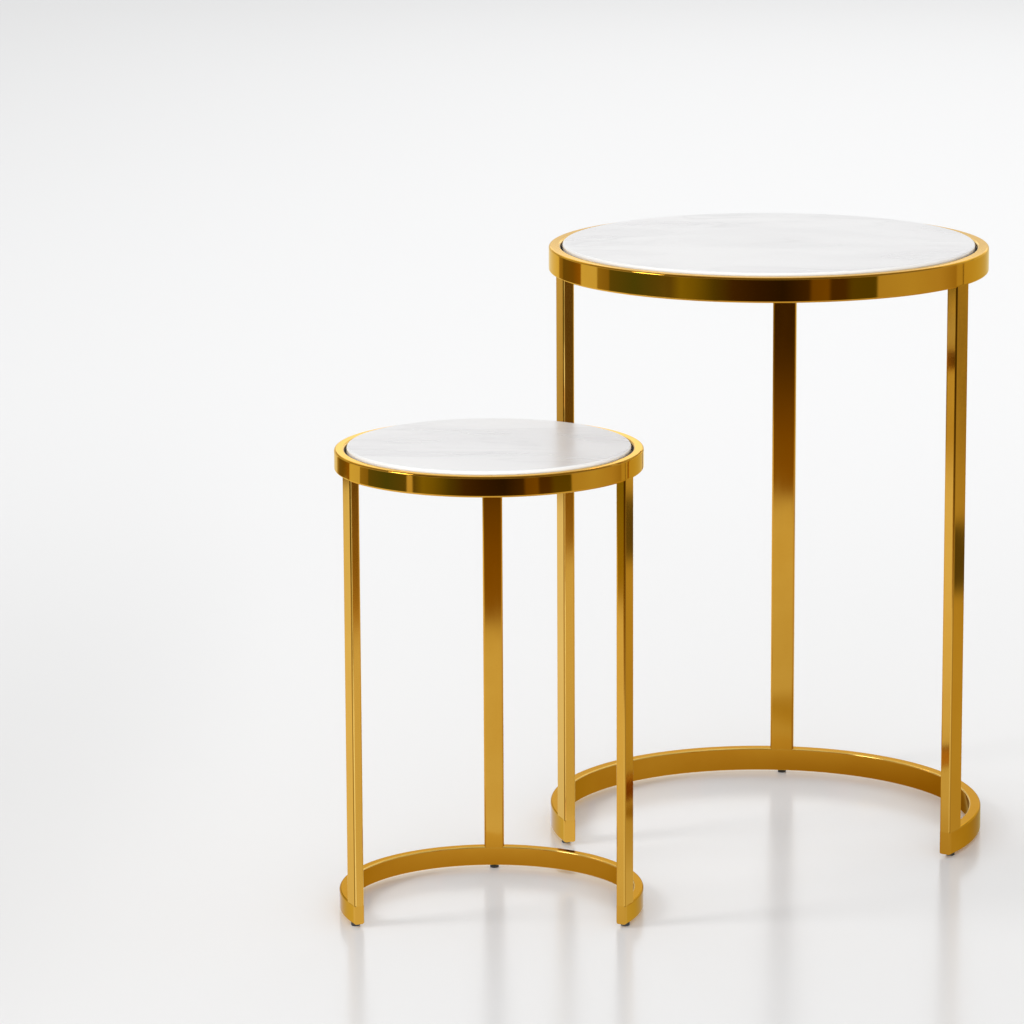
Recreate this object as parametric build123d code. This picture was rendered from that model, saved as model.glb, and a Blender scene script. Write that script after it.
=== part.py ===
"""A pair of round nesting side tables with marble tops and gold tube frames.

Each table has a closed rim ring, three legs and a C-shaped base ring, all of the same
rectangular tube. The base ring is open at the front, so the small table can be pushed
in under the large one. A loose marble disc lies inside each rim on four rubber bumpers.

Frame: millimetres, +Z up, the floor at Z = 0. The origin is the centre of the floor
rectangle that the pair covers as it stands. The large table's opening faces -Y.
"""

import os
from dataclasses import dataclass
from math import cos, radians, sin, sqrt

from build123d import *


# ---------------------------------------------------------------- driving dimensions


@dataclass(frozen=True)
class TableSize:
    """The sizes of one table that can be set by themselves."""

    name: str
    diameter: float  # outside of the rim and of the base ring
    height: float  # floor to the marble's top face
    tube_width: float  # wide side of the tube: upright in the rings, tangential in the legs
    tube_thickness: float  # narrow side of the tube, always radial
    marble_thickness: float
    tab_reach: float  # how far a support tab stands in from the rim
    tab_thickness: float


LARGE = TableSize(
    name="large",
    diameter=450.0,
    height=618.0,
    tube_width=25.0,
    tube_thickness=12.0,
    marble_thickness=12.0,
    tab_reach=24.0,
    tab_thickness=3.0,
)
SMALL = TableSize(
    name="small",
    diameter=300.0,
    height=466.0,
    tube_width=20.0,
    tube_thickness=10.0,
    marble_thickness=10.0,
    tab_reach=20.0,
    tab_thickness=2.5,
)

# How the pair stands: the small table waits in front of the large one, to its left.
STANDING_GAP = 40.0  # shortest distance between the two rims, seen from above
STANDING_BEARING = 35.6  # degrees from the large table's front towards its left side
SMALL_YAW = 7.0  # degrees that the small table is turned, anticlockwise from above

# The tube, the same stock in both tables apart from its two sides.
TUBE_WALL = 1.5
TUBE_CORNER = 2.0  # outside corner radius
FRONT_LEG_ANGLE = 65.0  # degrees from the front to each front leg

# Welded plates that close the two ends of the base ring.
END_PLATE_THICKNESS = 3.0
END_PLATE_ROUND = 1.5

# Marble seat.
MARBLE_GAP = 2.2  # between the marble's edge and the rim, all round
MARBLE_PROUD = 3.0  # how far the marble stands above the rim
MARBLE_TOP_ROUND = 2.5
MARBLE_BOTTOM_CHAMFER = 1.0
TAB_WIDTH = 24.0
TAB_ANGLES = (45.0, 135.0, 225.0, 315.0)
BUMPER_DIAMETER = 10.0
BUMPER_HEIGHT = 2.0
BUMPER_ROUND = 0.6

# Glides under the base ring: one below each leg.
GLIDE_DIAMETER = 9.0
GLIDE_HEIGHT = 3.0
GLIDE_EDGE_ROUND = 0.8
GLIDE_STEM_DIAMETER = 4.0
GLIDE_STEM_LENGTH = 6.0
GLIDE_STEM_CLEARANCE = 0.1  # radial, between the stem and its hole


# ---------------------------------------------------------------- derived dimensions


def radius(table):
    """Outside radius of both rings."""
    return table.diameter / 2


def inner_radius(table):
    """Radius of the rings' inner faces."""
    return radius(table) - table.tube_thickness


def middle_radius(table):
    """Radius of the rings' centre line."""
    return radius(table) - table.tube_thickness / 2


def rim_top(table):
    return table.height - MARBLE_PROUD


def rim_bottom(table):
    return rim_top(table) - table.tube_width


def base_top(table):
    return GLIDE_HEIGHT + table.tube_width


def marble_bottom(table):
    return table.height - table.marble_thickness


def tab_top(table):
    return marble_bottom(table) - BUMPER_HEIGHT


def leg_angles(table):
    """Direction of each leg, anticlockwise from +X, with the table's opening facing -Y."""
    return {
        "left": -90.0 - FRONT_LEG_ANGLE,
        "right": -90.0 + FRONT_LEG_ANGLE,
        "back": 90.0,
    }


def leg_radius(table):
    """Distance of a leg's centre line that puts its outer edges on the rings' outer face."""
    half_width = table.tube_width / 2
    return sqrt(radius(table) ** 2 - half_width**2) - table.tube_thickness / 2


def tab_end_radius(table):
    """Distance of a tab's flat outer end whose two corners meet the rim's inner face."""
    return sqrt(inner_radius(table) ** 2 - (TAB_WIDTH / 2) ** 2)


def bumper_radius(table):
    """Distance of a bumper's centre: the middle of the tab's part below the marble."""
    tab_inner_end = tab_end_radius(table) - table.tab_reach
    marble_edge = inner_radius(table) - MARBLE_GAP
    return (tab_inner_end + marble_edge) / 2


def corner_round(table):
    """Outside corner radius, limited by the tube's narrow side."""
    return min(TUBE_CORNER, table.tube_thickness / 2 - 0.5)


# ---------------------------------------------------------------- shared shapes


def tube_section(table, across, along):
    """Hollow tube section on the XY plane, with the given outside sizes."""
    outer_corner = corner_round(table)
    inner_corner = max(outer_corner - TUBE_WALL, 0.3)
    outside = RectangleRounded(across, along, outer_corner)
    inside = RectangleRounded(across - 2 * TUBE_WALL, along - 2 * TUBE_WALL, inner_corner)
    return outside - inside


def ring(table, bottom, section):
    """Turns a section, drawn about its own centre, into a full ring that starts at bottom."""
    centre_height = bottom + table.tube_width / 2
    placed = Plane.XZ * Pos(middle_radius(table), centre_height) * section
    return revolve(placed, Axis.Z, 360.0)


def at_angle(angle):
    """Turns a shape made on the +X side of the table to the given direction."""
    return Rot(0, 0, angle)


def front_side(side):
    """+1 or -1: the tangential direction from a front leg towards the opening."""
    return 1.0 if side == "left" else -1.0


# ---------------------------------------------------------------- pieces of one table


def make_rim(table):
    return ring(
        table,
        rim_bottom(table),
        tube_section(table, table.tube_thickness, table.tube_width),
    )


def opening_wedge(table, setback):
    """The space in front of the base ring's two ends, moved back by setback.

    Its two sides run parallel to the front legs' centre lines, so that the closed ends
    of the base ring lie flush with the front faces of the legs.
    """
    end_offset = table.tube_width / 2 - setback
    angles = leg_angles(table)
    reach = 2 * radius(table)
    apex = Vector(0, -end_offset / sin(radians(FRONT_LEG_ANGLE)))
    left = apex + Vector(cos(radians(angles["left"])), sin(radians(angles["left"]))) * reach
    right = apex + Vector(cos(radians(angles["right"])), sin(radians(angles["right"]))) * reach
    corners = [apex, left, Vector(left.X, -reach), Vector(right.X, -reach), right, apex]
    outline = make_face(Polyline(*[(p.X, p.Y) for p in corners]))
    return extrude(outline, amount=base_top(table) + table.tube_width)


def glide_hole(table, angle):
    hole = Cylinder(GLIDE_STEM_DIAMETER / 2 + GLIDE_STEM_CLEARANCE, 2 * TUBE_WALL)
    return at_angle(angle) * Pos(middle_radius(table), 0, GLIDE_HEIGHT) * hole


def make_base(table):
    base = ring(
        table,
        GLIDE_HEIGHT,
        tube_section(table, table.tube_thickness, table.tube_width),
    )
    base -= opening_wedge(table, END_PLATE_THICKNESS)
    for angle in leg_angles(table).values():
        base -= glide_hole(table, angle)
    return base


def make_end_plate(table, side):
    """A solid slice of the ring's outline that closes one end of the base ring."""
    outline = RectangleRounded(table.tube_thickness, table.tube_width, corner_round(table))
    solid_ring = ring(table, GLIDE_HEIGHT, outline)
    toward_front = front_side(side)
    slice_middle = toward_front * (table.tube_width - END_PLATE_THICKNESS) / 2
    slice_box = Box(4 * table.tube_thickness, END_PLATE_THICKNESS, 4 * table.tube_width)
    slice_place = Pos(middle_radius(table), slice_middle, base_top(table))
    turned_slice = at_angle(leg_angles(table)[side]) * slice_place * slice_box
    plate = solid_ring & turned_slice
    angle = radians(leg_angles(table)[side])
    outward = Vector(-sin(angle), cos(angle)) * toward_front
    end_face = plate.faces().sort_by(lambda face: face.center().dot(outward))[-1]
    return fillet(end_face.edges(), END_PLATE_ROUND)


def make_leg(table, side):
    height = rim_bottom(table) - base_top(table)
    section = tube_section(table, table.tube_thickness, table.tube_width)
    tube = extrude(section, amount=height)
    return at_angle(leg_angles(table)[side]) * Pos(leg_radius(table), 0, base_top(table)) * tube


def make_tab(table, angle):
    plate = Box(table.tab_reach, TAB_WIDTH, table.tab_thickness)
    middle_x = tab_end_radius(table) - table.tab_reach / 2
    middle_z = tab_top(table) - table.tab_thickness / 2
    return at_angle(angle) * Pos(middle_x, 0, middle_z) * plate


def make_bumper(table, angle):
    pad = Pos(0, 0, BUMPER_HEIGHT / 2) * Cylinder(BUMPER_DIAMETER / 2, BUMPER_HEIGHT)
    pad = fillet(pad.edges().sort_by(Axis.Z)[-1], BUMPER_ROUND)
    return at_angle(angle) * Pos(bumper_radius(table), 0, tab_top(table)) * pad


def make_marble(table):
    disc_radius = inner_radius(table) - MARBLE_GAP
    middle_z = table.height - table.marble_thickness / 2
    disc = Pos(0, 0, middle_z) * Cylinder(disc_radius, table.marble_thickness)
    disc = fillet(disc.edges().sort_by(Axis.Z)[-1], MARBLE_TOP_ROUND)
    return chamfer(disc.edges().sort_by(Axis.Z)[0], MARBLE_BOTTOM_CHAMFER)


def make_glide(table, angle):
    foot = Pos(0, 0, GLIDE_HEIGHT / 2) * Cylinder(GLIDE_DIAMETER / 2, GLIDE_HEIGHT)
    foot = fillet(foot.edges().sort_by(Axis.Z)[0], GLIDE_EDGE_ROUND)
    stem_middle = GLIDE_HEIGHT + GLIDE_STEM_LENGTH / 2
    stem = Pos(0, 0, stem_middle) * Cylinder(GLIDE_STEM_DIAMETER / 2, GLIDE_STEM_LENGTH)
    return at_angle(angle) * Pos(middle_radius(table), 0, 0) * (foot + stem)


def make_table(table):
    """All pieces of one table about its own centre, as a dict from piece to solid."""
    pieces = {
        "rim": make_rim(table),
        "base": make_base(table),
        "marble_top": make_marble(table),
    }
    for side in leg_angles(table):
        pieces[f"leg_{side}"] = make_leg(table, side)
        pieces[f"glide_{side}"] = make_glide(table, leg_angles(table)[side])
    for side in ("left", "right"):
        pieces[f"end_plate_{side}"] = make_end_plate(table, side)
    for number, angle in enumerate(TAB_ANGLES, start=1):
        pieces[f"support_tab_{number}"] = make_tab(table, angle)
        pieces[f"bumper_{number}"] = make_bumper(table, angle)
    return pieces


# ---------------------------------------------------------------- the pair


def standing_places():
    """Centres of the large and the small table on the floor, about the pair's middle."""
    distance = radius(LARGE) + STANDING_GAP + radius(SMALL)
    bearing = radians(STANDING_BEARING)
    small = Vector(-distance * sin(bearing), -distance * cos(bearing))
    low_x = min(-radius(LARGE), small.X - radius(SMALL))
    high_x = max(radius(LARGE), small.X + radius(SMALL))
    low_y = min(-radius(LARGE), small.Y - radius(SMALL))
    high_y = max(radius(LARGE), small.Y + radius(SMALL))
    large = Vector(-(low_x + high_x) / 2, -(low_y + high_y) / 2)
    return large, large + small


def main():
    os.makedirs("parts", exist_ok=True)
    large_place, small_place = standing_places()
    layout = (
        (LARGE, Location((large_place.X, large_place.Y, 0))),
        (SMALL, Location((small_place.X, small_place.Y, 0), (0, 0, SMALL_YAW))),
    )
    for table, place in layout:
        for piece, solid in make_table(table).items():
            export_step(place * solid, f"parts/{table.name}_{piece}.step")


main()
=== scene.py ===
import math

import bpy
import numpy as np
from mathutils import Matrix, Vector


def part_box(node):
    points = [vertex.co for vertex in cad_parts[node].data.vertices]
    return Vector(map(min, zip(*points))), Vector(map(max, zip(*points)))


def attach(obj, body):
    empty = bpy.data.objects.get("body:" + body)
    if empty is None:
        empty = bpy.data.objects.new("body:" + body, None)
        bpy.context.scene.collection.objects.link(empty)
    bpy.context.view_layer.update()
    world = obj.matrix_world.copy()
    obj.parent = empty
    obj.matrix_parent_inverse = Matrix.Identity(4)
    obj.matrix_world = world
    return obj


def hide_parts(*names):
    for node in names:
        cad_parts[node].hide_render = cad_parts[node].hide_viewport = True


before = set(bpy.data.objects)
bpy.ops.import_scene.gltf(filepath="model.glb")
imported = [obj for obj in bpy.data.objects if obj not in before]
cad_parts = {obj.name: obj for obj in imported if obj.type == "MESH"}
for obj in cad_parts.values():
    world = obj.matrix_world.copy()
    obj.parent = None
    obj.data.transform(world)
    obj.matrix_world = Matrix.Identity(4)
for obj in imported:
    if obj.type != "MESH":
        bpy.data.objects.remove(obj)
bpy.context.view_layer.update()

RING_STEPS = 288  # spans round a full ring
CORNER_STEPS = 8  # spans in each rounded edge
LEG_ROWS = 49  # rows of vertices up a leg, which carry its painted edge lines
TUBE_EDGE = 0.002  # radius of the tubes' rounded edges
PLATE_EDGE = 0.0015  # radius of the end plates' front edges
MARBLE_EDGE = 0.0025  # radius of the marble's top edge
MARBLE_CHAMFER = 0.001  # at the marble's underside
SEAM = 0.0001  # hairline between a leg and the ring it is welded to


# ------------------------------------------------------------------ reading the frame


def points_of(node):
    """The vertices of a CAD node as an array, in metres in the row frame."""
    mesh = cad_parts[node].data
    values = np.empty(len(mesh.vertices) * 3)
    mesh.vertices.foreach_get("co", values)
    return values.reshape(-1, 3)


def middle_of(node):
    low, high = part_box(node)
    return (low + high) / 2


def toward_front(side):
    """The sign of the turn about a table's axis that leads from a front leg to the opening."""
    return 1 if side == "left" else -1


class Table:
    """The sizes of one table, read from its CAD nodes."""

    def __init__(self, name):
        self.name = name
        self.centre = middle_of(f"{name}_rim")
        self.centre.z = 0.0
        low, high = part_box(f"{name}_rim")
        self.rim_bottom, self.rim_top = low.z, high.z
        low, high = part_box(f"{name}_base")
        self.base_bottom, self.base_top = low.z, high.z
        flat = points_of(f"{name}_rim")[:, :2] - np.array(self.centre[:2])
        distance = np.hypot(flat[:, 0], flat[:, 1])
        self.outer, self.inner = distance.max(), distance.min()
        self.middle = (self.outer + self.inner) / 2
        self.thickness = self.outer - self.inner
        self.width = self.rim_top - self.rim_bottom
        self.legs = {side: self.direction(f"{name}_leg_{side}") for side in ("left", "right", "back")}

    def direction(self, node):
        """Angle of a node about the table's centre, anticlockwise from +X."""
        away = middle_of(node) - self.centre
        return math.atan2(away.y, away.x)

    def ahead(self, side):
        """Unit vector from a front leg towards the opening, at right angles to its radius."""
        angle = self.legs[side]
        return np.array((-math.sin(angle), math.cos(angle), 0)) * toward_front(side)

    def across(self, node, side):
        """Extents of a node along a leg's radius, inner and outer, and at right angles to it."""
        flat = points_of(node)[:, :2] - np.array(self.centre[:2])
        angle = self.legs[side]
        along = flat @ np.array((math.cos(angle), math.sin(angle)))
        aside = flat @ np.array((-math.sin(angle), math.cos(angle)))
        return along.min(), along.max(), aside.min(), aside.max()

    def place(self):
        """Where a piece made about the table's axis goes."""
        return Matrix.Translation((self.centre.x, self.centre.y, 0))


# ------------------------------------------------------------------ mesh code


def rounded_outline(across, along, edge):
    """Points, normals and running length of a rounded rectangle about (0, 0).

    It starts in the middle of its lower side, so that a pattern's seam lies underneath.
    """
    half_x, half_y = across / 2 - edge, along / 2 - edge
    corners = (
        (half_x, -half_y, -90),
        (half_x, half_y, 0),
        (-half_x, half_y, 90),
        (-half_x, -half_y, 180),
    )
    points, normals = [(0.0, -along / 2)], [(0.0, -1.0)]
    for centre_x, centre_y, start in corners:
        for k in range(CORNER_STEPS + 1):
            turn = math.radians(start + 90 * k / CORNER_STEPS)
            normal = (math.cos(turn), math.sin(turn))
            points.append((centre_x + edge * normal[0], centre_y + edge * normal[1]))
            normals.append(normal)
    points.append(points[0])
    normals.append(normals[0])
    points = np.array(points)
    run = np.concatenate(([0.0], np.cumsum(np.hypot(*np.diff(points, axis=0).T))))
    return points, np.array(normals), run


def smooth_step(values, low, high):
    share = np.clip((values - low) / (high - low), 0, 1)
    return share * share * (3 - 2 * share)


def around(outward, upward, cosine, sine):
    """Turns a profile's points or normals about the vertical axis."""
    shape = np.broadcast_shapes(cosine.shape, outward.shape)
    return np.stack((outward * cosine, outward * sine, np.broadcast_to(upward, shape)), -1)


def edge_wear(normals):
    """0 on a tube's flat sides, up to 1 in the middle of its rounded edges: the share of a painted
    highlight.
    """
    return 4 * normals[:, 0] ** 2 * normals[:, 1] ** 2


# Painted highlight lines and a painted dark line down the front legs' corners. Each is where the
# corner's normal has turned so many degrees from straight out (0) towards the opening (90), and fades
# over LINE_SPREAD to both sides.
OUTER_LINE = 68
INNER_LINE = 135
DARK_LINE = 30
LINE_SPREAD = 15
RIGHT_OUTER = 0.5  # strength of the right legs' painted highlight line at the foot; it is gone at the top
RIGHT_DARK_LINE = (0.35, 1.0)  # strength of their painted dark line at the foot and at the top


def line_at(turns, middle):
    return np.exp(-(((turns - middle) / LINE_SPREAD) ** 2))


def leg_wear(normals, heights, side):
    """The painted lines down a leg's corners: painted highlight above 0, painted dark line below 0."""
    if side == "back":
        return 0.0
    turns = np.degrees(np.arctan2(normals[:, 1] * toward_front(side), normals[:, 0]))
    outer, inner, dark_line = (line_at(turns, line) for line in (OUTER_LINE, INNER_LINE, DARK_LINE))
    if side == "left":
        return outer + inner - dark_line
    high_up = smooth_step(heights, heights[0], heights[-1])[:, None]
    foot, top = RIGHT_DARK_LINE
    return RIGHT_OUTER * outer * (1 - high_up) - dark_line * (foot + (top - foot) * high_up)


def show(name, data):
    """Puts a new object in the scene."""
    shown = bpy.data.objects.new(name, data)
    bpy.context.scene.collection.objects.link(shown)
    return shown


# Two vertices are one if these agree: metres, and normals and grain scaled to compare with them.
SAME_DIGITS = 6
NORMAL_WEIGHT = 0.001
GRAIN_WEIGHT = 0.01


class Shell:
    """A mesh under construction. Each vertex has an exact normal, a grain map and a painted edge light
    value (painted highlight above 0, painted dark line below 0).
    """

    def __init__(self):
        self.points, self.normals, self.grain, self.wear, self.faces = [], [], [], [], []

    def grid(self, points, normals, grain, wear=0.0, flip=False):
        """Adds a grid of quads, from arrays of rows by columns by coordinates.

        The painted edge light is one number, one for each column, or rows by columns.
        """
        rows, columns = points.shape[:2]
        start = len(self.points)
        self.points.extend(points.reshape(-1, 3))
        self.normals.extend(normals.reshape(-1, 3))
        self.grain.extend(grain.reshape(-1, 2))
        self.wear.extend(np.broadcast_to(wear, (rows, columns)).ravel())
        for i in range(rows - 1):
            for j in range(columns - 1):
                a = start + i * columns + j
                quad = (a, a + 1, a + columns + 1, a + columns)
                self.faces.append(quad[::-1] if flip else quad)

    def cap(self, points, normal, flip=False):
        """Adds one flat face."""
        start = len(self.points)
        self.points.extend(points)
        self.normals.extend([normal] * len(points))
        self.grain.extend([(p[0], p[1]) for p in points])
        self.wear.extend([0.0] * len(points))
        face = tuple(range(start, start + len(points)))
        self.faces.append(face[::-1] if flip else face)

    def build(self, name, place):
        """Makes the object. Points that coincide and have the same normal and grain are joined."""
        keys, index = {}, []
        points, normals, grain, wear = [], [], [], []
        for p, n, g, w in zip(self.points, self.normals, self.grain, self.wear):
            same = (*p, *(np.array(n) * NORMAL_WEIGHT), *(np.array(g) * GRAIN_WEIGHT))
            key = tuple(np.round(same, SAME_DIGITS))
            if key not in keys:
                keys[key] = len(points)
                points.append(tuple(p))
                normals.append(tuple(n))
                grain.append(tuple(g))
                wear.append(w)
            index.append(keys[key])
        mesh = bpy.data.meshes.new(name)
        mesh.from_pydata(points, [], [[index[v] for v in face] for face in self.faces])
        layer = mesh.uv_layers.new(name="grain")
        for loop in mesh.loops:
            layer.data[loop.index].uv = grain[loop.vertex_index]
        mesh.attributes.new("wear", "FLOAT", "POINT").data.foreach_set("value", wear)
        for polygon in mesh.polygons:
            polygon.use_smooth = True
        mesh.normals_split_custom_set_from_vertices(normals)
        shown = show(name, mesh)
        shown.matrix_world = place
        return shown


def swept_ring(shell, table, bottom, start, end):
    """Sweeps the tube's outline round the table's axis, and returns its first and last outline.

    start and end give the angle at which a point at a given radius begins and ends.
    """
    outline, normals, run = rounded_outline(table.thickness, table.width, TUBE_EDGE)
    radii = table.middle + outline[:, 0]
    heights = bottom + table.width / 2 + outline[:, 1]
    first = np.array([start(r) for r in radii])
    last = np.array([end(r) for r in radii])
    steps = round(RING_STEPS * (last[0] - first[0]) / (2 * math.pi))
    angles = first + (last - first) * np.linspace(0, 1, steps + 1)[:, None]
    cosine, sine = np.cos(angles), np.sin(angles)
    points = around(radii, heights, cosine, sine)
    facing = around(normals[:, 0], normals[:, 1], cosine, sine)
    grain = np.stack([angles * table.middle, np.broadcast_to(run, angles.shape)], -1)
    # The inner top edges of the rim and the base ring get a painted highlight.
    inside_top = (normals[:, 0] < 0) & (normals[:, 1] > 0)
    shell.grid(points, facing, grain, edge_wear(normals) * inside_top, flip=True)
    return points[0], points[-1]


def make_rim(table):
    """The closed ring round the marble, with its seam over the back leg."""
    shell = Shell()
    start = table.legs["back"]
    swept_ring(shell, table, table.rim_bottom, lambda r: start, lambda r: start + 2 * math.pi)
    return shell.build(f"{table.name}_rim_ring", table.place())


def cut_angle(table, side, offset):
    """The angle at which a ring point meets a plane beside a front leg's centre line."""
    return lambda radius: table.legs[side] + toward_front(side) * math.asin(offset / radius)


def make_base(table):
    """The C-shaped ring, cut square where the end plates begin."""
    plate_back = table.across(f"{table.name}_end_plate_left", "left")[2]
    first_cut, last_cut = (cut_angle(table, side, plate_back) for side in ("right", "left"))
    turn = 2 * math.pi if table.legs["left"] < table.legs["right"] else 0.0
    shell = Shell()
    start, end = swept_ring(shell, table, table.base_bottom, first_cut, lambda r: last_cut(r) + turn)
    shell.cap(start[:-1], table.ahead("right"))
    shell.cap(end[:-1], table.ahead("left"), flip=True)
    return shell.build(f"{table.name}_base_ring", table.place())


def make_end_plate(table, side):
    """A plate over one end of the base ring, with rounded front edges."""
    back, front = table.across(f"{table.name}_end_plate_left", "left")[2:]
    rows = [(back, 0.0, 0.0)]  # distance from the leg's centre line, inset, turn of the normal
    for k in range(CORNER_STEPS + 1):
        turn = math.radians(90 * k / CORNER_STEPS)
        offset = front - PLATE_EDGE + PLATE_EDGE * math.sin(turn)
        rows.append((offset, PLATE_EDGE * (1 - math.cos(turn)), turn))
    ahead = table.ahead(side)
    points, facing, grain = [], [], []
    for offset, inset, turn in rows:
        outline, normals, run = rounded_outline(
            table.thickness - 2 * inset, table.width - 2 * inset, TUBE_EDGE - inset
        )
        radii = table.middle + outline[:, 0]
        heights = table.base_bottom + table.width / 2 + outline[:, 1]
        angles = table.legs[side] + toward_front(side) * np.arcsin(offset / radii)
        cosine, sine = np.cos(angles), np.sin(angles)
        points.append(around(radii, heights, cosine, sine))
        outward = around(normals[:, 0], normals[:, 1], cosine, sine)
        blended = outward * math.cos(turn) + ahead * math.sin(turn)
        facing.append(blended / np.linalg.norm(blended, axis=1)[:, None])
        grain.append(np.stack([np.full(len(run), offset), run], -1))
    shell = Shell()
    shell.grid(np.array(points), np.array(facing), np.array(grain), flip=side == "left")
    shell.cap(points[-1][:-1], ahead, flip=side == "left")
    shell.cap(points[0][:-1], -ahead, flip=side == "right")
    return shell.build(f"{table.name}_end_plate_{side}_shell", table.place())


def make_leg(table, side):
    """A straight tube. Its ends reach over the rings' rounded edges, as ground welds do."""
    inner, outer, low, high = table.across(f"{table.name}_leg_{side}", side)
    outline, normals, run = rounded_outline(outer - inner, high - low, TUBE_EDGE)
    bottom = table.base_top - PLATE_EDGE + SEAM
    top = table.rim_bottom + TUBE_EDGE - SEAM
    heights = np.linspace(bottom, top, LEG_ROWS)
    x, y, z, outward, aside, length = np.broadcast_arrays(
        *outline.T, heights[:, None], *normals.T, run
    )
    points = np.stack((x, y, z), -1)
    shell = Shell()
    shell.grid(
        points,
        np.stack((outward, aside, np.zeros(z.shape)), -1),
        np.stack((z, length), -1),
        leg_wear(normals, heights, side),
    )
    shell.cap(points[0][:-1], (0, 0, -1), flip=True)
    shell.cap(points[-1][:-1], (0, 0, 1))
    place = table.place() @ Matrix.Rotation(table.legs[side], 4, "Z")
    place = place @ Matrix.Translation(((inner + outer) / 2, (low + high) / 2, 0))
    return shell.build(f"{table.name}_leg_{side}_tube", place)


def full_turn(profile):
    """Points and unit normals of a turned profile: rows of radius, height, normal out and up."""
    radii, heights, outward, upward = profile.T
    angles = np.linspace(0, 2 * math.pi, RING_STEPS + 1)
    cosine, sine = np.cos(angles)[:, None], np.sin(angles)[:, None]
    points = around(radii, heights, cosine, sine)
    facing = around(outward, upward, cosine, sine)
    return points, facing / np.linalg.norm(facing, axis=2)[..., None]


EDGE_LIGHT_REACH = 1.6  # times a point's outward normal, up to 1, is its share of the painted highlight on the edge
MARBLE_RINGS = (0.75, 0.5, 0.25)  # shares of the radius that have vertices on the flat top


def make_marble(table):
    """A disc with a rounded top edge and a small chamfer below."""
    low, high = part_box(f"{table.name}_marble_top")
    radius = (high.x - low.x) / 2
    profile = [
        (radius - MARBLE_CHAMFER, low.z, 0.7, -0.7),
        (radius, low.z + MARBLE_CHAMFER, 1, -0.2),
    ]
    for k in range(CORNER_STEPS + 1):
        turn = math.radians(90 * k / CORNER_STEPS)
        cosine, sine = math.cos(turn), math.sin(turn)
        inset, drop = MARBLE_EDGE * (1 - cosine), MARBLE_EDGE * (1 - sine)
        profile.append((radius - inset, high.z - drop, cosine, sine))
    for share in MARBLE_RINGS:
        profile.append((radius * share, high.z, 0, 1))
    profile = np.array(profile)
    points, facing = full_turn(profile)
    shell = Shell()
    # The marble's side and rounded edge get a painted highlight.
    shell.grid(points, facing, points[..., :2], np.clip(profile[:, 2] * EDGE_LIGHT_REACH, 0, 1), flip=True)
    shell.cap(points[:-1, -1], (0, 0, 1))
    shell.cap(points[:-1, 0], (0, 0, -1), flip=True)
    return shell.build(f"{table.name}_marble_disc", table.place())


# A black strip of painted shade in the gap between the marble and the rim.
SHADE_STRIP_THICKNESS = 0.0007
SHADE_STRIP_ROUNDING = SHADE_STRIP_THICKNESS * 0.4  # of its two inner edges
SHADE_STRIP_DEPTH = (0.003, 0.0115)  # from the rim's top to the strip's two edges
SHADE_STRIP_SINK = 0.00005  # how far its back goes into the rim


def make_shade_strip(table):
    """The thin black strip inside the rim, behind the marble's edge, that paints the shade in the gap
    there. Its back is open.
    """
    top, bottom = (table.rim_top - depth for depth in SHADE_STRIP_DEPTH)
    outer, inner = table.inner + SHADE_STRIP_SINK, table.inner - SHADE_STRIP_THICKNESS
    profile = np.array(
        [
            (outer, bottom, 0, -1),
            (inner + SHADE_STRIP_ROUNDING, bottom, -0.4, -0.9),
            (inner, bottom + SHADE_STRIP_ROUNDING, -0.9, -0.4),
            (inner, top - SHADE_STRIP_ROUNDING, -0.9, 0.4),
            (inner + SHADE_STRIP_ROUNDING, top, -0.4, 0.9),
            (outer, top, 0, 1),
        ]
    )
    points, facing = full_turn(profile)
    shell = Shell()
    shell.grid(points, facing, points[..., :2])
    return shell.build(f"{table.name}_rim_liner", table.place())


# ------------------------------------------------------------------ materials


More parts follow.
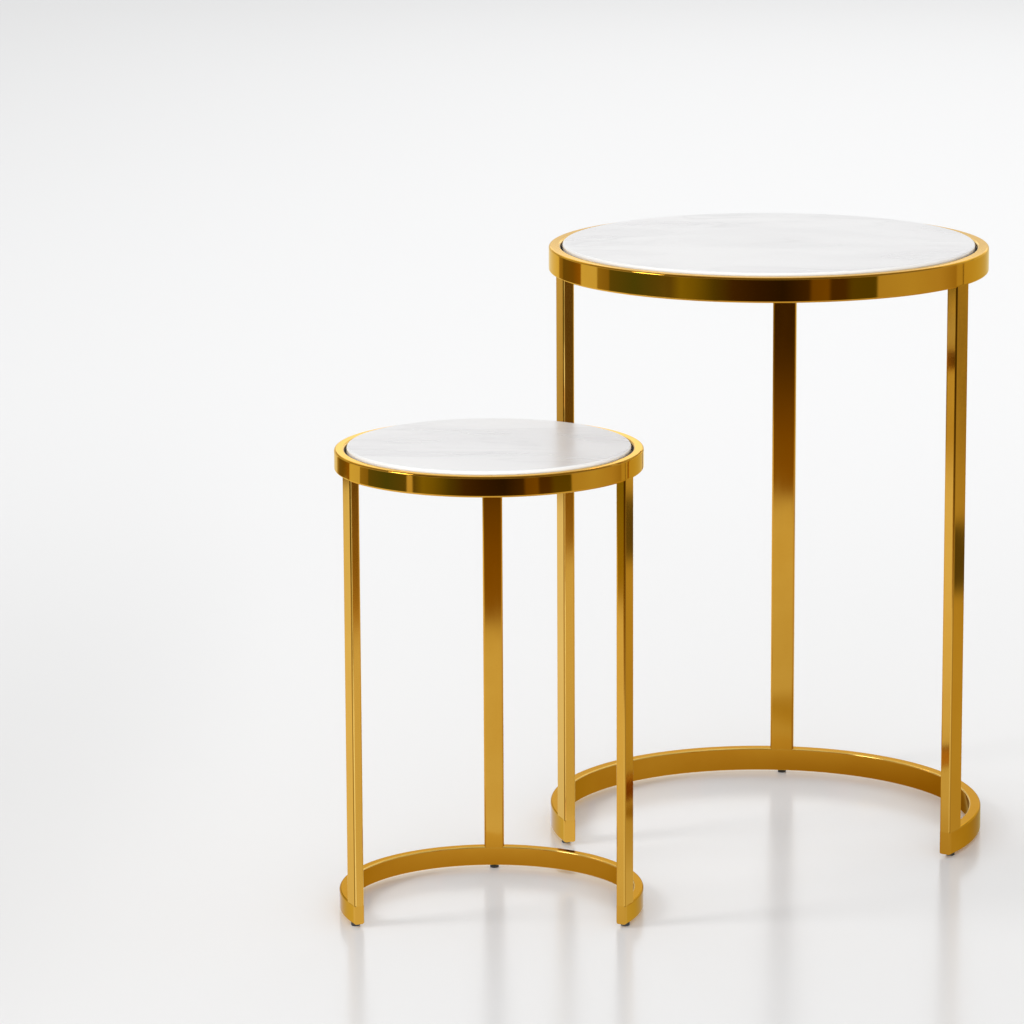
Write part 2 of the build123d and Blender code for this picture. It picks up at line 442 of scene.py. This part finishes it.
class Nodes:
    """Short calls for building a material's node tree."""

    def __init__(self, name):
        self.material = bpy.data.materials.new(name)
        self.material.use_nodes = True
        self.tree = self.material.node_tree
        self.shader = next(n for n in self.tree.nodes if n.type == "BSDF_PRINCIPLED")

    def add(self, kind, **values):
        node = self.tree.nodes.new(kind)
        for key, value in values.items():
            setattr(node, key, value)
        return node

    def link(self, output, target):
        self.tree.links.new(output, target)

    def grain_point(self, along, across):
        """The grain map's coordinates, scaled along and across the tube."""
        source = self.add("ShaderNodeUVMap", uv_map="grain")
        scale = self.add("ShaderNodeMapping")
        scale.inputs["Scale"].default_value = (along, across, 1)
        self.link(source.outputs["UV"], scale.inputs["Vector"])
        return scale.outputs["Vector"]

    def object_point(self):
        return self.add("ShaderNodeTexCoord").outputs["Object"]

    def noise(self, point, scale, detail, roughness=0.5, distortion=0.0):
        node = self.add("ShaderNodeTexNoise")
        node.inputs["Scale"].default_value = scale
        node.inputs["Detail"].default_value = detail
        node.inputs["Roughness"].default_value = roughness
        node.inputs["Distortion"].default_value = distortion
        self.link(point, node.inputs["Vector"])
        return node.outputs["Fac"]

    def spread(self, value, low, high, to_low, to_high):
        """Maps low..high to to_low..to_high, and holds the ends beyond it."""
        node = self.add("ShaderNodeMapRange", clamp=True)
        numbers = {"From Min": low, "From Max": high, "To Min": to_low, "To Max": to_high}
        for key, number in numbers.items():
            node.inputs[key].default_value = number
        self.link(value, node.inputs["Value"])
        return node.outputs["Result"]

    def math(self, operation, first, second):
        node = self.add("ShaderNodeMath", operation=operation)
        for socket, value in zip(node.inputs, (first, second)):
            if isinstance(value, (int, float)):
                socket.default_value = value
            else:
                self.link(value, socket)
        return node.outputs[0]

    def mix_colour(self, share, first, second):
        node = self.add("ShaderNodeMix", data_type="RGBA")
        self.link(share, node.inputs["Factor"])
        for socket, value in ((node.inputs[6], first), (node.inputs[7], second)):
            if isinstance(value, tuple):
                socket.default_value = (*value, 1)
            else:
                self.link(value, socket)
        return node.outputs[2]

    def bump(self, height, distance, strength):
        node = self.add("ShaderNodeBump")
        node.inputs["Strength"].default_value = strength
        node.inputs["Distance"].default_value = distance
        self.link(height, node.inputs["Height"])
        self.link(node.outputs["Normal"], self.shader.inputs["Normal"])

    def set(self, **values):
        """Sets the shader's own sockets; Specular_Tint stands for Specular Tint."""
        for key, value in values.items():
            self.shader.inputs[key.replace("_", " ")].default_value = value


GOLD_LIGHT = (0.70, 0.37, 0.048)
GOLD_DEEP = (0.66, 0.33, 0.036)
# The next two colours are a painted highlight and a painted dark line on the gold's edges.
GOLD_PAINTED_HIGHLIGHT = (0.98, 0.70, 0.20)
GOLD_PAINTED_DARK_LINE = (0.10, 0.045, 0.004)
HIGHLIGHT_METALLIC = 0.25  # of a full painted highlight line
RIM_EDGE_TINT = (1.0, 0.87, 0.50)  # the gold's colour at grazing angles
TUBE_EDGE_TINT = (1.0, 0.92, 0.62)
# The base rings' darker edge tint is painted shade: it dims their reflection of the bright backdrop.
BASE_DARKENED_EDGE_TINT = (0.70, 0.60, 0.42)
RIM_ROUGHNESS = (0.03, 0.07)  # where the grain is smoothest and roughest
TUBE_ROUGHNESS = (0.05, 0.11)
FINE_GRAIN = (18, 5200)  # grains per metre along and across the tube
BROAD_GRAIN = (7, 60)


def gold_material(name, roughness, edge_tint):
    """Polished gold plate: a fine grain along the tube, soft mottling, painted highlight lines and
    painted dark lines on the edges.
    """
    m = Nodes(name)
    fine = m.noise(m.grain_point(*FINE_GRAIN), 1.0, 3.0)
    broad = m.noise(m.grain_point(*BROAD_GRAIN), 1.0, 2.0)
    cloud = m.noise(m.object_point(), 14.0, 3.0, 0.6)
    colour = m.mix_colour(m.spread(cloud, 0.3, 0.7, 0, 1), GOLD_LIGHT, GOLD_DEEP)
    # This attribute is painted edge light: a painted highlight above 0, a painted dark line below 0.
    wear = m.add("ShaderNodeAttribute", attribute_name="wear").outputs["Fac"]
    patchy = m.math("MULTIPLY", wear, m.spread(cloud, 0.25, 0.75, 0.45, 0.95))
    highlight = m.spread(patchy, 0.0, 1.0, 0.0, 1.0)
    dark_lined = m.mix_colour(m.spread(wear, -1.0, 0.0, 0.9, 0.0), colour, GOLD_PAINTED_DARK_LINE)
    m.link(m.mix_colour(highlight, dark_lined, GOLD_PAINTED_HIGHLIGHT), m.shader.inputs["Base Color"])
    texture = m.math("ADD", m.math("MULTIPLY", fine, 0.5), m.math("MULTIPLY", broad, 0.5))
    m.link(m.spread(texture, 0.3, 0.7, *roughness), m.shader.inputs["Roughness"])
    m.bump(fine, 0.000004, 0.5)
    m.link(m.spread(highlight, 0.0, 1.0, 1.0, HIGHLIGHT_METALLIC), m.shader.inputs["Metallic"])
    m.set(Specular_Tint=(*edge_tint, 1))
    return m.material


MARBLE_WHITE = (0.86, 0.855, 0.86)
MARBLE_CLOUD = (0.815, 0.81, 0.825)
MARBLE_VEIN = (0.50, 0.50, 0.52)
MARBLE_PAINTED_EDGE_LIGHT = (0.96, 0.96, 0.955)
VEIN_STRENGTH = 0.16  # of the thin line and of the soft band round it
VEIN_SLANT = (0.2, 0.3, math.radians(-24))
VEIN_SQUEEZE = (1.0, 2.8, 1.0)


def marble_material():
    """White marble: soft grey clouds in slanting streaks, with fine broken grey veins."""
    m = Nodes("white_marble")
    point = m.object_point()
    turned = m.add("ShaderNodeMapping")
    turned.inputs["Rotation"].default_value = VEIN_SLANT
    turned.inputs["Scale"].default_value = VEIN_SQUEEZE
    m.link(point, turned.inputs["Vector"])
    slanted = turned.outputs["Vector"]
    clouds = m.noise(slanted, 5.0, 4.0, 0.5, 0.5)
    veins = m.noise(slanted, 5.0, 4.0, 0.5, 1.0)
    ridge = m.math("ABSOLUTE", m.math("SUBTRACT", veins, 0.5), 0.0)
    thin = m.spread(ridge, 0.0, 0.022, 1.0, 0.0)
    broad = m.spread(ridge, 0.0, 0.09, 1.0, 0.0)
    patches = m.spread(m.noise(point, 7.0, 3.0), 0.46, 0.64, 0.0, 1.0)
    thin, broad = (m.math("MULTIPLY", line, VEIN_STRENGTH) for line in (thin, broad))
    line = m.math("MULTIPLY", m.math("ADD", thin, broad), patches)
    base = m.mix_colour(m.spread(clouds, 0.34, 0.68, 0, 1), MARBLE_WHITE, MARBLE_CLOUD)
    veined = m.mix_colour(line, base, MARBLE_VEIN)
    # A painted highlight whitens the marble's side and rounded edge.
    edge = m.add("ShaderNodeAttribute", attribute_name="wear").outputs["Fac"]
    m.link(m.mix_colour(edge, veined, MARBLE_PAINTED_EDGE_LIGHT), m.shader.inputs["Base Color"])
    m.link(m.spread(clouds, 0.3, 0.7, 0.20, 0.30), m.shader.inputs["Roughness"])
    m.bump(m.noise(point, 600.0, 2.0), 0.000004, 0.2)
    m.set(IOR=1.49)
    return m.material


NYLON_COLOURS = ((0.012, 0.012, 0.013), (0.03, 0.03, 0.031))
RUBBER_COLOURS = ((0.62, 0.62, 0.60), (0.50, 0.50, 0.48))


def moulded_material(name, colours, scale, roughness, bump):
    """Moulded plastic or rubber: one grain gives its colour, gloss and bump."""
    m = Nodes(name)
    grain = m.noise(m.object_point(), scale, 3.0)
    m.link(m.mix_colour(m.spread(grain, 0.3, 0.7, 0, 1), *colours), m.shader.inputs["Base Color"])
    m.link(m.spread(grain, 0.3, 0.7, *roughness), m.shader.inputs["Roughness"])
    m.bump(grain, *bump)
    return m


def glide_material():
    """Matte black nylon with a moulded grain."""
    return moulded_material("black_nylon", NYLON_COLOURS, 1800.0, (0.45, 0.65), (0.00005, 0.4)).material


def bumper_material():
    """Milky soft rubber."""
    m = moulded_material("milky_rubber", RUBBER_COLOURS, 350.0, (0.35, 0.55), (0.0001, 0.3))
    m.set(Subsurface_Weight=0.2, Subsurface_Scale=0.002)
    return m.material


def tab_material():
    """Gold-plated sheet steel without the tubes' grain map."""
    m = Nodes("gold_plate_steel")
    cloud = m.noise(m.object_point(), 60.0, 4.0)
    fine = m.noise(m.object_point(), 900.0, 3.0)
    colour = m.mix_colour(m.spread(cloud, 0.3, 0.7, 0, 1), GOLD_LIGHT, GOLD_DEEP)
    m.link(colour, m.shader.inputs["Base Color"])
    m.link(m.spread(fine, 0.3, 0.7, 0.22, 0.38), m.shader.inputs["Roughness"])
    m.bump(fine, 0.00002, 0.5)
    m.set(Metallic=1.0, Specular_Tint=(*TUBE_EDGE_TINT, 1))
    return m.material


RIM_GOLD = gold_material("polished_gold_rim", RIM_ROUGHNESS, RIM_EDGE_TINT)
TUBE_GOLD = gold_material("satin_gold_tube", TUBE_ROUGHNESS, TUBE_EDGE_TINT)
# A darker copy of the tube gold, for painted shade on the base rings.
DARKENED_BASE_GOLD = gold_material("satin_gold_base_darkened", TUBE_ROUGHNESS, BASE_DARKENED_EDGE_TINT)
MARBLE = marble_material()
GLIDE = glide_material()
BUMPER = bumper_material()
TAB = tab_material()


# ------------------------------------------------------------------ the object


def place_piece(piece, body, node, material):
    """Gives a new piece its finish and body, and hides the CAD node it stands for."""
    piece.data.materials.append(material)
    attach(piece, body)
    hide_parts(node)


CARRIED_OVER = {"glide": GLIDE, "bumper": BUMPER, "support_tab": TAB}


def dress_table(name):
    """Makes one table's pieces and gives the CAD nodes that stay their finish."""
    table = Table(name)
    body = f"{name}_frame"
    place_piece(make_rim(table), body, f"{name}_rim", RIM_GOLD)
    place_piece(make_base(table), body, f"{name}_base", DARKENED_BASE_GOLD)
    for side in table.legs:
        place_piece(make_leg(table, side), body, f"{name}_leg_{side}", TUBE_GOLD)
    for side in ("left", "right"):
        plate = make_end_plate(table, side)
        place_piece(plate, body, f"{name}_end_plate_{side}", TUBE_GOLD)
    place_piece(make_marble(table), f"{name}_top", f"{name}_marble_top", MARBLE)
    # A black strip of painted shade in the gap round the marble.
    shade_strip = make_shade_strip(table)
    shade_strip.data.materials.append(GLIDE)
    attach(shade_strip, body)
    for node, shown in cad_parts.items():
        for part, material in CARRIED_OVER.items():
            if node.startswith(f"{name}_{part}"):
                shown.data.materials.clear()
                shown.data.materials.append(material)
    return table


large = dress_table("large")
small = dress_table("small")


# ------------------------------------------------------------------ floor, light, camera


FLOOR_REACH = 60.0
FLOOR_COLOUR = (0.90, 0.90, 0.905)


def make_floor():
    """A white, slightly glossy floor. The gold sees the reflection card under it instead."""
    m = Nodes("white_floor")
    m.set(Base_Color=(*FLOOR_COLOUR, 1), Roughness=0.19, Specular_IOR_Level=0.35)
    reach = FLOOR_REACH
    corners = [(-reach, -reach, 0), (reach, -reach, 0), (reach, reach, 0), (-reach, reach, 0)]
    mesh = bpy.data.meshes.new("floor")
    mesh.from_pydata(corners, [], [(0, 1, 2, 3)])
    mesh.materials.append(m.material)
    floor = show("floor", mesh)
    floor.visible_glossy = False


# What the gold sees of the studio floor, as radiance by direction from the middle of the pair.
# 0 degrees is towards the camera and +90 is to its right. Near is the white paper, far is the
# darker studio beyond its edge.
NEAR_GLOW = (
    (-180, (0.95, 1.00, 1.10)),
    (-137, (1.02, 1.10, 1.35)),
    (-90, (1.02, 1.06, 1.20)),
    (-50, (1.00, 1.04, 1.20)),
    (-5, (0.85, 0.87, 0.86)),
    (45, (0.83, 0.83, 0.80)),
    (90, (0.68, 0.62, 0.42)),
    (127, (0.62, 0.53, 0.22)),
    (145, (0.68, 0.60, 0.30)),
    (180, (0.95, 1.00, 1.10)),
)
FAR_GLOW = (
    (-180, (0.90, 0.88, 0.70)),
    (-137, (0.90, 0.88, 0.70)),
    (-135.5, (0.40, 0.30, 0.12)),
    (-131, (0.34, 0.26, 0.10)),
    (-130, (0.19, 0.15, 0.06)),
    (-118, (0.22, 0.15, 0.03)),
    (-110, (0.36, 0.20, 0.01)),
    (-109, (0.85, 0.87, 0.75)),
    (-95.5, (0.85, 0.88, 0.78)),
    (-94.5, (0.40, 0.34, 0.12)),
    (-86, (0.32, 0.26, 0.08)),
    (-85, (0.15, 0.15, 0.04)),
    (-68, (0.10, 0.13, 0.04)),
    (-46, (0.16, 0.14, 0.04)),
    (-40, (0.29, 0.27, 0.03)),
    (-33, (0.24, 0.22, 0.02)),
    (-22, (0.11, 0.10, 0.01)),
    (-12, (0.07, 0.04, 0.005)),
    (0, (0.045, 0.024, 0.0)),
    (14, (0.030, 0.018, 0.0)),
    (27, (0.07, 0.04, 0.0)),
    (29, (0.20, 0.12, 0.0)),
    (37, (0.23, 0.14, 0.0)),
    (39, (0.09, 0.05, 0.0)),
    (46, (0.09, 0.05, 0.0)),
    (50, (0.13, 0.11, 0.0)),
    (63, (0.12, 0.11, 0.0)),
    (64.5, (0.60, 0.54, 0.28)),
    (85, (0.66, 0.62, 0.36)),
    (105, (0.60, 0.52, 0.28)),
    (118, (0.46, 0.36, 0.14)),
    (119, (0.62, 0.54, 0.28)),
    (124.3, (0.62, 0.54, 0.28)),
    (125, (0.12, 0.07, 0.01)),
    (125.8, (0.66, 0.58, 0.30)),
    (155.5, (0.70, 0.66, 0.42)),
    (180, (0.90, 0.88, 0.70)),
)
MIDDLE_DIM = (0.90, (0.1, 1.0))  # share of the near glow in the middle, and where it rises to all
PAPER_EDGE = (-1.17, 0.15)  # y of the paper's front edge at x = 0, and its slope
PAPER_EDGE_BLUR = 0.06
PAPER_RADIUS = 1.95  # how far the paper reaches to the sides and the back
PAPER_RADIUS_BLUR = 0.15
BEYOND_EDGE_GLOW = (0.26, 0.15, 0.0)  # added just past the front edge
BEYOND_EDGE_RADII = (1.2, 2.6)  # where that fades out
BEYOND_EDGE_SECTOR = (-10, 75)  # its middle direction and half width
DARK_BAND = (127, 10, 1.72, 0.22)  # a dark stand: direction, half width, distance, half depth
DARK_BAND_BLURS = (4, 0.06)  # of its sides in degrees, of its near and far edges in metres
DARK_BAND_KEEPS = 0.2  # share of the glow that it leaves
# Paler strips of the studio floor that two leg faces see: where the leg stands, the azimuth of its
# reflection, the strip's half width, and rows of distance from the leg and radiance.
STRIPS = (
    (
        (0.278, 0.041),
        -52.5,
        0.10,
        (
            (1.1, (1.00, 1.06, 1.30)),
            (1.9, (1.00, 1.08, 1.40)),
            (2.35, (0.67, 0.58, 0.27)),
            (2.9, (0.75, 0.70, 0.50)),
            (3.7, (0.86, 0.82, 0.70)),
        ),
    ),
    ((-0.278, -0.281), -125.9, 0.13, ((1.3, (0.98, 1.04, 1.2)), (2.22, (0.98, 1.04, 1.2)))),
)
STRIP_BLURS = (0.03, 0.1, 0.04)  # of a strip's sides, near end and far end
BAY_DEPTH = 0.17  # how far in from a base ring the floor is shaded
BAY_SHADE = ((0.58, 0.44, 0.14), (0.92, 0.82, 0.52))  # factors at the ring and at that depth
BAY_OPENING = (58, 68)  # degrees from the front over which the shade begins
BAY_RING_BLUR = 0.004
BAY_END = (0.8, 1.2)  # shares of the depth over which it fades out


def by_rows(rows, values):
    """Colours at an array of values, evenly between rows of a value and a colour."""
    places = [row[0] for row in rows]
    return np.stack([np.interp(values, places, [row[1][k] for row in rows]) for k in range(3)], -1)


def within(depth, blur):
    """0 outside an edge and 1 inside it, from the depth past the edge."""
    return smooth_step(depth, -blur, blur)


def paper_glow(x, y, degrees, distance):
    """The white paper round the tables and the darker studio beyond it."""
    middle, rise = MIDDLE_DIM
    near = by_rows(NEAR_GLOW, degrees)
    near = near * (middle + (1 - middle) * smooth_step(distance, *rise))[..., None]
    sector, half_width = BEYOND_EDGE_SECTOR
    beyond = (1 - smooth_step(distance, *BEYOND_EDGE_RADII)) * (np.abs(degrees - sector) < half_width)
    far = by_rows(FAR_GLOW, degrees) + beyond[..., None] * np.array(BEYOND_EDGE_GLOW)
    edge, slope = PAPER_EDGE
    past_front = within(edge + slope * x - y, PAPER_EDGE_BLUR)
    past_side = within(distance - PAPER_RADIUS, PAPER_RADIUS_BLUR)
    return near + (far - near) * np.maximum(past_front, past_side)[..., None]


def dark_band(degrees, distance):
    """The share of the glow that the dark stand leaves."""
    direction, half_width, middle, half_depth = DARK_BAND
    side_blur, edge_blur = DARK_BAND_BLURS
    inside = within(half_width - np.abs(degrees - direction), side_blur)
    inside = inside * within(half_depth - np.abs(distance - middle), edge_blur)
    return (1 - (1 - DARK_BAND_KEEPS) * inside)[..., None]


def with_strip(glow, x, y, leg, azimuth, half_width, rows):
    """Lays one pale strip over the glow."""
    turn = math.radians(azimuth)
    from_x, from_y = x - leg[0], y - leg[1]
    along = from_x * math.sin(turn) - from_y * math.cos(turn)
    aside = np.abs(from_x * math.cos(turn) + from_y * math.sin(turn))
    side_blur, near_blur, far_blur = STRIP_BLURS
    inside = within(half_width - aside, side_blur)
    inside = inside * within(along - rows[0][0], near_blur)
    inside = inside * within(rows[-1][0] - along, far_blur)
    return glow + (by_rows(rows, along) - glow) * inside[..., None]


def bay_shade(table, x, y):
    """The share of the glow left inside a base ring, next to its closed side."""
    from_x, from_y = x - table.centre.x, y - table.centre.y
    distance = np.hypot(from_x, from_y)
    depth = table.inner - distance
    left, right = table.legs["left"], table.legs["right"]
    opening = np.array((math.cos(left) + math.cos(right), math.sin(left) + math.sin(right)))
    opening = opening / np.linalg.norm(opening)
    cosine = (from_x * opening[0] + from_y * opening[1]) / np.maximum(distance, 1e-6)
    behind = smooth_step(np.degrees(np.arccos(np.clip(cosine, -1, 1))), *BAY_OPENING)
    at_ring, deeper = (np.array(shade) for shade in BAY_SHADE)
    shade = at_ring + (deeper - at_ring) * smooth_step(depth, 0.0, BAY_DEPTH)[..., None]
    start, end = (share * BAY_DEPTH for share in BAY_END)
    inside = within(depth, BAY_RING_BLUR) * (1 - smooth_step(depth, start, end))
    return 1 - (inside * behind)[..., None] * (1 - shade)


def floor_glow(x, y):
    """The studio floor's radiance where the gold reflects it."""
    degrees = np.degrees(np.arctan2(x, -y))
    distance = np.hypot(x, y)
    glow = paper_glow(x, y, degrees, distance) * dark_band(degrees, distance)
    for strip in STRIPS:
        glow = with_strip(glow, x, y, *strip)
    for table in (large, small):
        glow = glow * bay_shade(table, x, y)
    return glow


def glow_card(name, points, faces, glow):
    """A glowing card that only reflections can see, with a radiance at each vertex."""
    mesh = bpy.data.meshes.new(name)
    mesh.from_pydata(points, [], faces)
    colours = mesh.color_attributes.new("glow", "FLOAT_COLOR", "POINT")
    colours.data.foreach_set("color", np.column_stack((glow, np.ones(len(glow)))).ravel())
    material = bpy.data.materials.new(name)
    material.use_nodes = True
    tree = material.node_tree
    tree.nodes.clear()
    source = tree.nodes.new("ShaderNodeVertexColor")
    source.layer_name = "glow"
    emission = tree.nodes.new("ShaderNodeEmission")
    output = tree.nodes.new("ShaderNodeOutputMaterial")
    tree.links.new(source.outputs["Color"], emission.inputs["Color"])
    tree.links.new(emission.outputs["Emission"], output.inputs["Surface"])
    mesh.materials.append(material)
    card = show(name, mesh)
    card.visible_camera = False
    card.visible_diffuse = False
    card.visible_transmission = False
    card.visible_shadow = False


CARD_RADII = (  # closest together where the base rings mirror it
    np.linspace(0.0, 0.6, 121),
    np.linspace(0.62, 4.0, 130),
    np.linspace(4.2, 14.0, 20),
)
CARD_DIRECTIONS = np.linspace(-180, 180, 721)
CARD_HEIGHT = -0.002


def make_floor_card():
    """The studio floor as the gold sees it, just below the real one."""
    radii, turns = np.concatenate(CARD_RADII), np.radians(CARD_DIRECTIONS)
    distance, turn = np.meshgrid(radii, turns, indexing="ij")
    x, y = distance * np.sin(turn), -distance * np.cos(turn)
    points = np.stack((x, y, np.full_like(x, CARD_HEIGHT)), -1).reshape(-1, 3)
    columns = len(turns)
    faces = []
    for i in range(len(radii) - 1):
        for a in range(i * columns, (i + 1) * columns - 1):
            faces.append((a, a + columns, a + columns + 1, a + 1))
    glow_card("floor_card", points.tolist(), faces, floor_glow(x, y).reshape(-1, 3))


BACKDROP_DISTANCE = 18.0
BACKDROP_HALF_WIDTH = 16.0
BACKDROP_GLOW = (  # height and radiance; the low base rings see the part above 4.5 m
    (0.0, (0.90, 0.90, 0.90)),
    (4.15, (0.90, 0.90, 0.90)),
    (4.5, (0.42, 0.40, 0.37)),
    (9.0, (0.42, 0.40, 0.37)),
)
CEILING_HEIGHT = 3.2
CEILING_HALF_WIDTH = 10.0
CEILING_GLOW = (  # y and radiance, from far in front to behind the tables
    (-14.0, (0.08, 0.06, 0.03)),
    (-2.8, (0.08, 0.06, 0.03)),
    (-1.6, (0.30, 0.26, 0.20)),
    (4.5, (0.36, 0.33, 0.28)),
)


def strip_card(name, points, rows):
    """A card with two points for each row of a place and a radiance."""
    faces = [(2 * k, 2 * k + 1, 2 * k + 3, 2 * k + 2) for k in range(len(rows) - 1)]
    glow_card(name, points, faces, [radiance for _, radiance in rows for _ in range(2)])


def make_backdrop_card():
    """The lit backdrop behind the tables, as their tops see it."""
    sides = (-BACKDROP_HALF_WIDTH, BACKDROP_HALF_WIDTH)
    points = [(x, BACKDROP_DISTANCE, height) for height, _ in BACKDROP_GLOW for x in sides]
    strip_card("backdrop_card", points, BACKDROP_GLOW)


def make_ceiling_card():
    """The studio overhead, dark in front, which draws the dark lines on the rounded edges."""
    sides = (-CEILING_HALF_WIDTH, CEILING_HALF_WIDTH)
    points = [(x, y, CEILING_HEIGHT) for y, _ in CEILING_GLOW for x in sides]
    strip_card("ceiling_card", points, CEILING_GLOW)


WORLD_COLOUR = (0.99, 0.995, 1.0)
WORLD_STRENGTH = 0.62
LIGHTS = {  # place, target, size, watts, colour
    "key": ((-3.2, -1.4, 2.9), (0, 0, 0.2), (1.1, 1.1), 45, (1.0, 0.99, 0.97)),
    "backdrop_light": ((0.1, 5.2, 2.0), (0.1, 5.2, 0), (4.6, 8.0), 74, (1.0, 1.0, 1.0)),
    "fill": ((0.9, -4.6, 0.85), (0.2, 0, 0.5), (6.5, 1.4), 150, (1.0, 1.0, 1.0)),
}
HIDDEN_FROM_REFLECTIONS = ("fill",)


def make_light():
    """Soft area lights in a pale room."""
    world = bpy.data.worlds.new("studio")
    bpy.context.scene.world = world
    world.use_nodes = True
    background = world.node_tree.nodes["Background"]
    background.inputs["Color"].default_value = (*WORLD_COLOUR, 1)
    background.inputs["Strength"].default_value = WORLD_STRENGTH
    for name, (place, target, size, watts, colour) in LIGHTS.items():
        data = bpy.data.lights.new(name, "AREA")
        data.shape, data.size, data.size_y = "RECTANGLE", *size
        data.energy, data.color = watts, colour
        lamp = show(name, data)
        lamp.location = place
        lamp.rotation_euler = (Vector(target) - lamp.location).to_track_quat("-Z", "Y").to_euler()
        lamp.visible_glossy = name not in HIDDEN_FROM_REFLECTIONS


CAMERA_PLACE = (0.4854, -4.6595, 1.3256)
CAMERA_PITCH = 11.642  # degrees below the horizon
CAMERA_YAW = 7.944  # degrees anticlockwise from +Y
CAMERA_ROLL = -0.284
CAMERA_LENS = 166.36  # millimetres on a 36 mm sensor
SENSOR_WIDTH = 36.0
CLIP_END = 200.0


def make_camera():
    """The camera that a fit to the photograph's edges gives."""
    data = bpy.data.cameras.new("camera")
    data.lens, data.sensor_width, data.clip_end = CAMERA_LENS, SENSOR_WIDTH, CLIP_END
    camera = show("camera", data)
    turn = Matrix.Rotation(math.radians(CAMERA_YAW), 4, "Z")
    tilt = Matrix.Rotation(math.radians(90 - CAMERA_PITCH), 4, "X")
    roll = Matrix.Rotation(math.radians(CAMERA_ROLL), 4, "Z")
    camera.matrix_world = Matrix.Translation(CAMERA_PLACE) @ turn @ tilt @ roll
    bpy.context.scene.camera = camera


make_floor()
make_floor_card()
make_backdrop_card()
make_ceiling_card()
make_light()
make_camera()
bpy.context.scene.view_settings.view_transform = "Standard"
